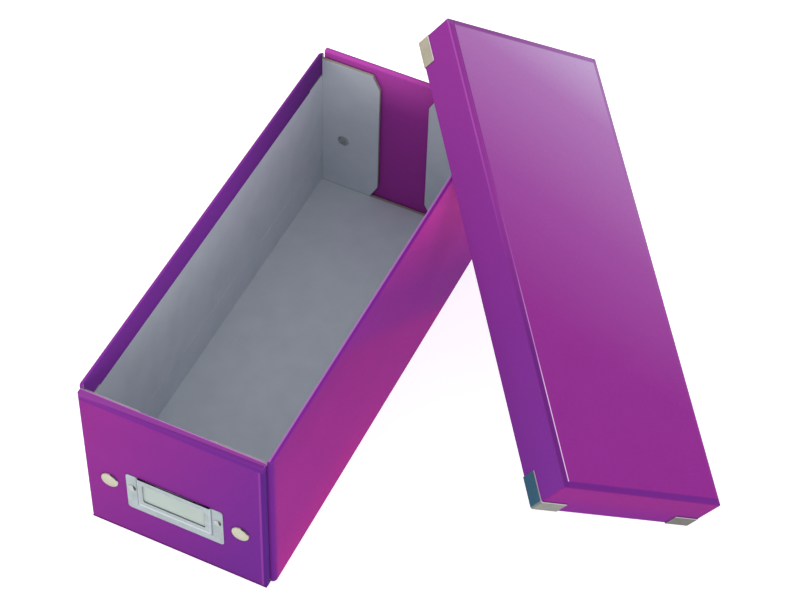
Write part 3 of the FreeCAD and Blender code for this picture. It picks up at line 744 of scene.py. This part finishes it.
def soften(
    bm: bmesh.types.BMesh,
    reach: float,
    steps: int,
    chosen: Callable[[bmesh.types.BMEdge], bool],
) -> None:
    """Round the edges that the test chooses.

    Args:
        bm: The mesh.
        reach: How far the rounding reaches from each edge, in metres.
        steps: Number of faces across the rounding.
        chosen: The test of an edge.
    """
    edges = [edge for edge in bm.edges if edge.is_manifold and chosen(edge)]
    bmesh.ops.bevel(
        bm, geom=edges, offset=reach, offset_type="OFFSET", segments=steps, profile=0.5,
        affect="EDGES", material=-1, clamp_overlap=True, miter_outer="ARC",
    )


def is_corner(edge: bmesh.types.BMEdge, degrees: float = 40) -> bool:
    """Tell an outward edge that turns more than this."""
    return edge.calc_face_angle_signed(0) > math.radians(degrees)


def spun(
    points: Sequence[Point], rounding: float, centre: Vector, outward: Vector
) -> bmesh.types.BMesh:
    """Spin a profile about an axis.

    Args:
        points: Radius and height of the profile's points, from the back's middle to the front's.
        rounding: How far each inner point of the profile is rounded.
        centre: The middle of the piece's back.
        outward: The axis along which heights grow.

    Returns:
        The closed mesh.
    """
    bm = bmesh.new()
    line = [bm.verts.new((radius, 0, height)) for radius, height in points]
    for first, second in zip(line, line[1:]):
        bm.edges.new((first, second))
    bmesh.ops.bevel(
        bm, geom=line[1:-1], offset=rounding, offset_type="OFFSET", segments=3, profile=0.5,
        affect="VERTICES", material=-1, clamp_overlap=True,
    )
    bmesh.ops.spin(
        bm, geom=bm.verts[:] + bm.edges[:], cent=(0, 0, 0), axis=(0, 0, 1),
        angle=math.tau, steps=48, use_merge=True,
    )
    bmesh.ops.remove_doubles(bm, verts=bm.verts[:], dist=0.001 * MM)
    bmesh.ops.recalc_face_normals(bm, faces=bm.faces[:])
    turn = outward.to_track_quat("Z", "Y").to_matrix().to_4x4()
    bmesh.ops.transform(bm, matrix=Matrix.Translation(centre) @ turn, verts=bm.verts[:])
    return bm


def join(parts: Sequence[bmesh.types.BMesh]) -> bmesh.types.BMesh:
    """Put several meshes into one.

    Args:
        parts: The meshes, which are freed.

    Returns:
        The whole.
    """
    whole = bmesh.new()
    for part in parts:
        mesh = bpy.data.meshes.new("part")
        part.to_mesh(mesh)
        part.free()
        whole.from_mesh(mesh)
        bpy.data.meshes.remove(mesh)
    return whole


@dataclass
class Tray:
    """The tray's side walls, whose film is turned in over the rim."""

    rim_rounding: float = 0.32 * MM
    height: float = field(init=False)

    def __post_init__(self) -> None:
        """Take the rim's height from the frame."""
        self.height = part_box("right_wall_cover")[1].z

    def build(self) -> None:
        """Make the wall films again with a soft inner edge along the rim."""
        for side, film in (("left", LEFT_FILM_PAINTED_SHADE), ("right", RIGHT_FILM_PAINTED_LIGHT)):
            cover = f"{side}_wall_cover"
            bm = merged(cover)
            soften(bm, self.rim_rounding, 3, self.is_inner_rim)
            even_normals(add_piece(bm, f"{side}_wall_film", Body.TRAY, Slot.FILM, cover, film))

    def is_inner_rim(self, edge: bmesh.types.BMEdge) -> bool:
        """Tell an edge of the rim's inner side."""
        middle = (edge.verts[0].co + edge.verts[1].co) / 2
        return abs(middle.z - self.height) < TOUCH and is_corner(edge, 60)


@dataclass
class EndPanels:
    """Both end panels with their stud caps, and the label holder on the front one."""

    cap_radius: float = 6.25 * MM
    cap_lip: float = 1.1 * MM
    cap_rounding: float = 0.25 * MM
    dish: float = 0.75 * MM
    dish_crown: float = 0.14 * MM
    rivet_radius: float = 2.9 * MM
    rivet_rounding: float = 0.05 * MM
    metal: float = 0.5 * MM
    half_depth: float = field(init=False)
    stud_x: float = field(init=False)
    stud_z: float = field(init=False)
    cap_height: float = field(init=False)
    rivet_x: float = field(init=False)
    rivet_z: float = field(init=False)
    rivet_height: float = field(init=False)

    def __post_init__(self) -> None:
        """Take the places of the caps and the rivets from the frame."""
        self.half_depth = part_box("rear_panel_cover")[1].y
        low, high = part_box("rear_stud_caps")
        self.stud_x = high.x - self.cap_radius
        self.stud_z = (low.z + high.z) / 2
        self.cap_height = high.y - self.half_depth
        low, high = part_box("label_rivets")
        self.rivet_x = high.x - self.rivet_radius
        self.rivet_z = (low.z + high.z) / 2
        self.rivet_height = -low.y - self.half_depth - self.metal

    def build(self) -> None:
        """Make the caps, the rivets and the holder."""
        for body, way, end in ((Body.FRONT, -1, "front"), (Body.REAR, 1, "rear")):
            caps = join([self.cap(side, way) for side in (-1, 1)])
            add_piece(caps, f"{end}_caps", body, Slot.CAP, f"{end}_stud_caps")
        rivets = join([self.rivet(side) for side in (-1, 1)])
        add_piece(rivets, "holder_rivets", Body.FRONT, Slot.RIVET, "label_rivets", HOLDER_RIVET)
        bm = merged("label_holder")
        soften(bm, METAL_ROUNDING, 2, is_corner)
        even_normals(add_piece(bm, "pressed_holder", Body.FRONT, Slot.HOLDER, "label_holder"))

    def cap(self, side: int, way: int) -> bmesh.types.BMesh:
        """Spin one dished cap.

        Args:
            side: The left (-1) or right (1) of the end.
            way: The front (-1) or the rear (1) end.

        Returns:
            The cap's mesh.
        """
        inner = self.cap_radius - 1.3 * self.cap_lip
        low = self.cap_height - self.dish
        profile = [
            (0, 0),
            (self.cap_radius, 0),
            (self.cap_radius, 0.62 * self.cap_height),
            (self.cap_radius - 0.5 * self.cap_lip, self.cap_height),
            (inner, low),
            (0.35 * inner, low + self.dish_crown - 0.04 * MM),
            (0, low + self.dish_crown),
        ]
        centre = Vector((side * self.stud_x, way * self.half_depth, self.stud_z))
        return spun(profile, self.cap_rounding, centre, Vector((0, way, 0)))

    def rivet(self, side: int) -> bmesh.types.BMesh:
        """Spin one domed rivet head, a quarter of an ellipse.

        Args:
            side: The left (-1) or right (1) ear.

        Returns:
            The rivet head's mesh.
        """
        profile = [(0, 0), (self.rivet_radius, 0)]
        for step in range(1, 7):
            angle = step * math.pi / 12
            profile.append(
                (self.rivet_radius * math.cos(angle), self.rivet_height * math.sin(angle))
            )
        centre = Vector((side * self.rivet_x, -self.half_depth - self.metal, self.rivet_z))
        return spun(profile, self.rivet_rounding, centre, Vector((0, -1, 0)))


@dataclass
class Lid:
    """The lid, made flat about its top's middle and then leaned into place."""

    wall: float = 2.0 * MM
    film: float = 0.25 * MM
    corner: float = 1.2 * MM
    bevel_width: float = 4.6 * MM
    bevel_drop: float = 0.85 * MM
    turn_in: float = 20 * MM
    brink_rounding: float = 0.5 * MM
    crease_rounding: float = 0.7 * MM
    matt_border: float = 5.1 * MM
    lean_turn: float = 37.26
    lean_rise: float = 13.10
    lean_roll: float = 33.59
    half_width: float = field(init=False)
    half_length: float = field(init=False)
    height: float = field(init=False)
    origin: Vector = field(init=False)

    def __post_init__(self) -> None:
        """Lay the frame's cover flat to take the lid's size and the place of its top."""
        upright = self.tilt().inverted()
        flat = [upright @ vert.co for vert in frame["nodes"]["lid_cover"].data.vertices]
        low, high = (Vector(map(end, zip(*flat))) for end in (min, max))
        self.half_width, self.half_length = (high.x - low.x) / 2, (high.y - low.y) / 2
        self.height = high.z - low.z
        middle = (low + high) / 2
        self.origin = self.tilt() @ Vector((middle.x, middle.y, high.z))

    def tilt(self) -> Matrix:
        """Give the turn that leans the lid.

        Returns:
            The turn, made of its three angles in degrees.
        """
        turned = Matrix.Rotation(math.radians(self.lean_turn), 3, "Z")
        raised = Matrix.Rotation(math.radians(self.lean_rise), 3, "X")
        rolled = Matrix.Rotation(math.radians(self.lean_roll), 3, "Y")
        return turned @ raised @ rolled

    def from_top(self, direction: Vector, start: float, end: float) -> Slope:
        """Rise along a direction, between millimetres from the top's middle."""
        base = self.origin.dot(direction)
        return Slope(tuple(direction), base + start * MM, base + end * MM)

    def along(self, axis: LidAxis, start: float, end: float) -> Slope:
        """Rise along one of the lid's axes, between millimetres from the top's middle."""
        return self.from_top(self.tilt().col[axis.value], start, end)

    def sheen(self, start: float, end: float) -> Slope:
        """Rise towards the top's far right corner, between millimetres from its middle."""
        across, along, _ = self.tilt().col
        return self.from_top(along + 0.5 * across, start, end)

    def top_painted_light(self) -> tuple[Tint, ...]:
        """Paint a sheen on the flat top towards its far right corner, and light and shade on its
        bevel.

        Returns:
            The tints in the order in which they are laid.
        """
        across, along, out = LidAxis.ACROSS, LidAxis.ALONG, LidAxis.OUT
        top = (self.along(across, -67.0, -66.6), self.along(out, -1.4, -1.0))
        bevel = self.along(across, -66.6, -67.2)
        return (
            Tint((163, 76, 165), (*top, self.sheen(-80, 30))),
            Tint((180, 118, 188), (*top, self.sheen(30, 145))),
            Tint((202, 172, 217), (*top, self.sheen(145, 210))),
            Tint((156, 60, 160), (self.along(across, -66.4, -67.0),)),
            Tint((116, 43, 137), (bevel, self.along(along, 30, -80))),
            Tint((114, 42, 142), (self.along(along, -174.4, -175.4),), 0.85),
        )

    def skirt_painted_shade(self) -> tuple[Tint, ...]:
        """Paint shade on the left and the near skirt, deeper towards the left one's near end and down
        the near one.

        Returns:
            The tints in the order in which they are laid.
        """
        across, along, out = LidAxis.ACROSS, LidAxis.ALONG, LidAxis.OUT
        left = self.along(across, -70.7, -71.3)
        near = self.along(along, -178.9, -179.3)
        return (
            Tint((148, 54, 150), (left,)),
            Tint((124, 53, 150), (left, self.along(along, 130, -160))),
            Tint((140, 42, 130), (near,)),
            Tint((126, 40, 136), (near, self.along(out, -12, -30))),
        )

    def edge_painted_light(self) -> tuple[Tint, ...]:
        """Paint highlights along the far and right edges and the left brink, painted shade along the
        far part of the left crease, and a painted glint along its nearer part, brightest at the near
        end.

        Returns:
            The tints in the order in which they are laid.
        """
        across, along, out = LidAxis.ACROSS, LidAxis.ALONG, LidAxis.OUT
        edge = self.along(out, -1.5, -1.1)
        far = (self.along(along, 174.2, 175.2), edge)
        right = (self.along(across, 66.9, 67.6), edge, self.along(along, 0, 150))
        brink = (self.along(across, -70.8, -71.1), self.along(out, -1.7, -1.4))
        crease = (
            self.along(across, -66.5, -66.75),
            self.along(across, -67.5, -67.25),
            self.along(along, -175.6, -174.8),
        )
        return (
            Tint((150, 82, 158), far),
            Tint((168, 114, 180), (*far, self.along(across, -30, 70))),
            Tint((154, 92, 164), right, 0.8),
            Tint((188, 96, 192), (*brink, self.along(along, -20, 90)), 0.7),
            Tint((122, 40, 128), (*crease, self.along(along, -20, 90)), 0.7),
            # A painted glint along the left crease, brighter towards the near end
            Tint((196, 112, 200), (*crease, self.along(along, 40, 10)), 0.45),
            Tint((226, 158, 230), (*crease, self.along(along, -15, -55)), 0.7),
            Tint((255, 214, 255), (*crease, self.along(along, -80, -110)), 0.95),
        )

    def guard_shadows(self) -> tuple[Tint, ...]:
        """Darken the near skirt in a thin strip above each near guard.

        Returns:
            The two tints.
        """
        strip = (
            self.along(LidAxis.ALONG, -178.9, -179.3),
            self.along(LidAxis.OUT, -21.6, -22.1),
            self.along(LidAxis.OUT, -24.2, -23.7),
        )
        return tuple(
            Tint((60, 22, 74), (*strip, self.along(LidAxis.ACROSS, side * 49.2, side * 49.7)))
            for side in (-1, 1)
        )

    def film_finish(self) -> FilmFinish:
        """Put the lid's film together from its tints.

        Returns:
            The finish.
        """
        tints = (
            *self.top_painted_light(), *self.skirt_painted_shade(), *self.edge_painted_light(), *self.guard_shadows()
        )
        return FilmFinish("lid_film", (153, 48, 151), tints, 0.25, 0.012)

    def guard_finish(self, place: str) -> MetalFinish:
        """Say a guard's plating, with a painted highlight along its upper edge.

        Args:
            place: The guard's corner, such as front_left.

        Returns:
            The finish, with painted shade on the near guards and a painted dark teal reflection on the
            left one's long leg.
        """
        painted_shade_tones = {
            "front_left": ((114, 117, 106), (105, 107, 97)),
            "front_right": ((88, 87, 79), (81, 80, 73)),
        }
        colour, deep = painted_shade_tones.get(place, ((158, 152, 136), (147, 141, 124)))
        metallic = 0.9
        # Painted highlight along the guard's upper edge
        tints = (Tint((190, 174, 184), (self.along(LidAxis.OUT, -23.4, -23.0),)),)
        if place == "front_left":
            metallic = 0.35
            # Painted dark teal reflection on the near left guard's long leg
            leg = Tint((54, 112, 126), (self.along(LidAxis.ACROSS, -71.7, -71.95),))
            tints = (leg, *tints)
        name = f"guard_plating_{place}"
        return MetalFinish(name, colour, deep, 0.3, metallic, marks=3 * MM, tints=tints)

    def build(self) -> None:
        """Make the lid's film and its guards."""
        film = self.film_finish()
        piece = add_piece(self.wrap(), "lid_film", Body.LID, Slot.FILM, "lid_cover", film)
        matt = replace(film, name="lid_edge_film", gloss=0.36, specular=0.004)
        piece.data.materials.append(made(matt))
        thick = piece.modifiers.new("film_thickness", "SOLIDIFY")
        thick.thickness = self.film
        thick.offset = -1
        even_normals(piece)
        for place in ("front_left", "front_right", "rear_left", "rear_right"):
            guard = f"lid_guard_{place}"
            bm = merged(guard)
            soften(bm, METAL_ROUNDING, 2, is_corner)
            plating = self.guard_finish(place)
            even_normals(add_piece(bm, f"guard_{place}", Body.LID, Slot.GUARD, guard, plating))

    def wrap(self) -> bmesh.types.BMesh:
        """Fold the film over the board: top, bevel, skirts, rim and turned-in edge.

        Returns:
            The film as one sheet without thickness, leaned into place.
        """
        bm = self.tub()
        self.fold_in(bm)
        self.round_edges(bm)
        bmesh.ops.recalc_face_normals(bm, faces=bm.faces[:])
        plateau = max(bm.faces, key=lambda face: face.calc_area())
        if plateau.normal.z < 0:
            bmesh.ops.reverse_faces(bm, faces=bm.faces[:])
        for face in bm.faces:
            if abs(face.calc_center_median().y) > self.half_length - self.matt_border:
                face.material_index = 1
        lean = Matrix.Translation(self.origin) @ self.tilt().to_4x4()
        bmesh.ops.transform(bm, matrix=lean, verts=bm.verts[:])
        return bm

    def tub(self) -> bmesh.types.BMesh:
        """Make the outer faces: a box open below, with a bevelled top and round corners.

        Returns:
            The mesh about the top's middle.
        """
        bm = bmesh.new()
        bmesh.ops.create_cube(bm, size=1)
        size = Matrix.Diagonal((2 * self.half_width, 2 * self.half_length, self.height, 1))
        bmesh.ops.transform(bm, matrix=size, verts=bm.verts[:])
        bmesh.ops.translate(bm, vec=(0, 0, -self.height / 2), verts=bm.verts[:])
        bottom = [face for face in bm.faces if face.normal.z < -0.9]
        bmesh.ops.delete(bm, geom=bottom, context="FACES_ONLY")
        top = [face for face in bm.faces if face.normal.z > 0.9]
        bmesh.ops.inset_region(bm, faces=top, thickness=self.bevel_width, depth=0)
        outer = [
            vert for vert in bm.verts
            if abs(vert.co.z) < TOUCH and abs(abs(vert.co.x) - self.half_width) < TOUCH
        ]
        bmesh.ops.translate(bm, vec=(0, 0, -self.bevel_drop), verts=outer)
        upright = [
            edge for edge in bm.edges
            if abs(edge.verts[0].co.z - edge.verts[1].co.z) > self.height / 2
        ]
        bmesh.ops.bevel(
            bm, geom=upright, offset=self.corner, offset_type="OFFSET", segments=5,
            profile=0.5, affect="EDGES", material=-1,
        )
        return bm

    def fold_in(self, bm: bmesh.types.BMesh) -> None:
        """Run the film under the rim and up the inside of the skirts.

        Args:
            bm: The lid's outer faces, open below.
        """
        edge_x, edge_y = self.half_width - self.wall, self.half_length - self.wall
        border = [edge for edge in bm.edges if edge.is_boundary]
        folded = bmesh.ops.extrude_edge_only(bm, edges=border)["geom"]
        for vert in (item for item in folded if isinstance(item, bmesh.types.BMVert)):
            vert.co.x = max(-edge_x, min(edge_x, vert.co.x))
            vert.co.y = max(-edge_y, min(edge_y, vert.co.y))
        bmesh.ops.remove_doubles(bm, verts=bm.verts[:], dist=0.001 * MM)
        border = [edge for edge in bm.edges if edge.is_boundary]
        folded = bmesh.ops.extrude_edge_only(bm, edges=border)["geom"]
        inside = [item for item in folded if isinstance(item, bmesh.types.BMVert)]
        bmesh.ops.translate(bm, vec=(0, 0, self.turn_in), verts=inside)

    def round_edges(self, bm: bmesh.types.BMesh) -> None:
        """Round the edge above the skirts, the top's crease and the rim.

        Args:
            bm: The folded film.
        """
        brink_x = self.half_width - 0.6 * self.bevel_width
        brink_y = self.half_length - 0.6 * self.bevel_width

        def on_brink(place: Vector) -> bool:
            """Tell a place at the bevel's foot."""
            outer = abs(place.x) > brink_x or abs(place.y) > brink_y
            return outer and abs(place.z + self.bevel_drop) < 5 * TOUCH

        def is_brink(edge: bmesh.types.BMEdge) -> bool:
            """Tell an edge between the bevel and a skirt."""
            return all(on_brink(vert.co) for vert in edge.verts)

        def is_crease(edge: bmesh.types.BMEdge) -> bool:
            """Tell an edge between the flat top and the bevel."""
            return all(abs(vert.co.z) < TOUCH for vert in edge.verts)

        def is_rim(edge: bmesh.types.BMEdge) -> bool:
            """Tell an edge along the rim's outer or inner side."""
            low = all(vert.co.z < TOUCH - self.height for vert in edge.verts)
            return low and edge.calc_face_angle(0) > 1

        soften(bm, self.brink_rounding, 3, is_brink)
        soften(bm, self.crease_rounding, 2, is_crease)
        soften(bm, self.brink_rounding, 3, is_rim)


@dataclass(frozen=True)
class Softbox:
    """A rectangular white lamp, its size in metres and its power in watts."""

    name: str
    place: Direction
    target: Direction
    size: tuple[float, float]
    power: float

    def hang(self) -> None:
        """Hang the lamp and point it at its target."""
        light = bpy.data.lights.new(self.name, "AREA")
        light.shape = "RECTANGLE"
        light.size, light.size_y = self.size
        light.energy = self.power
        lamp = bpy.data.objects.new(self.name, light)
        lamp.location = self.place
        aim = Vector(self.target) - Vector(self.place)
        lamp.rotation_euler = aim.to_track_quat("-Z", "Y").to_euler()
        bpy.context.scene.collection.objects.link(lamp)


@dataclass
class Studio:
    """The white sweep, the lamps and the camera.

    The camera's place, its turn in degrees and its lens in millimetres were
    fitted to the box's edges in the photograph.
    """

    eye: Direction = (0.47111, -0.90368, 1.27456)
    view: Direction = (40.28795, -1.44996, 25.31327)
    lens: float = 102.99227
    sensor: float = 36
    sky: float = 0.66
    floor_size: float = 6.0
    lamps: tuple[Softbox, ...] = (
        Softbox("right_softbox", (1.6, -1.6, 0.5), (0.06, 0, 0.06), (1.0, 0.8), 12),
        Softbox("left_softbox", (-2.2, 0.4, 1.2), (0, 0.1, 0.06), (1.2, 1.2), 26),
        Softbox("front_softbox", (-1.9, -1.6, 1.2), (0, 0, 0.05), (1.2, 1.2), 4),
        Softbox("low_rear_strip", (0.9, 2.2, 0.2), (0.07, 0.15, 0.06), (0.8, 0.35), 8),
        Softbox("rear_softbox", (1.1, 3.0, 0.6), (0.17, 0.1, 0.1), (1.6, 1.2), 12),
    )

    def build(self) -> None:
        """Make the floor, the sky, the lamps and the camera."""
        self.floor()
        self.world()
        for lamp in self.lamps:
            lamp.hang()
        self.camera()

    def floor(self) -> None:
        """Lay the white floor."""
        bm = bmesh.new()
        bmesh.ops.create_grid(bm, x_segments=1, y_segments=1, size=self.floor_size)
        mesh = bpy.data.meshes.new("floor_sweep")
        bm.to_mesh(mesh)
        bm.free()
        mesh.materials.append(made(FloorFinish("white_floor")))
        plane = bpy.data.objects.new("floor_sweep", mesh)
        bpy.context.scene.collection.objects.link(plane)

    def world(self) -> None:
        """Light the room evenly and show it white behind everything."""
        world = bpy.data.worlds.new("pale_room")
        bpy.context.scene.world = world
        world.use_nodes = True
        nodes = Nodes(world.node_tree)
        strength = nodes.seen_strength(self.sky, 1.0)
        shell = nodes.add("Background", {"Color": WHITE, "Strength": strength})
        nodes.add("OutputWorld", {"Surface": shell.outputs[0]})

    def camera(self) -> None:
        """Set the camera where the photograph was taken."""
        data = bpy.data.cameras.new("camera")
        data.sensor_width = self.sensor
        data.sensor_fit = "HORIZONTAL"
        data.lens = self.lens
        data.clip_start, data.clip_end = 0.01, 50
        camera = bpy.data.objects.new("camera", data)
        camera.location = self.eye
        camera.rotation_euler = Euler([math.radians(angle) for angle in self.view], "XYZ")
        bpy.context.scene.collection.objects.link(camera)
        bpy.context.scene.camera = camera


def dress_nodes() -> None:
    """Give every node its own finish, or else that of its material slot."""
    for row in frame["record"]["subparts"]:
        node = frame["nodes"][row["node"]]
        finish = made(NODE_FINISHES.get(row["node"], FINISHES[Slot(row["material_slot"])]))
        if not node.material_slots:
            node.data.materials.append(finish)
        for place in node.material_slots:
            place.material = finish
        LOG.info("%s dressed in %s", node.name, finish.name)


def main() -> None:
    """Build the scene piece by piece."""
    logging.basicConfig(level=logging.INFO, format="%(message)s")
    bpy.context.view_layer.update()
    bpy.context.scene.view_settings.view_transform = "Standard"
    dress_nodes()
    Tray().build()
    EndPanels().build()
    Lid().build()
    Studio().build()


if __name__ == "__main__":
    main()
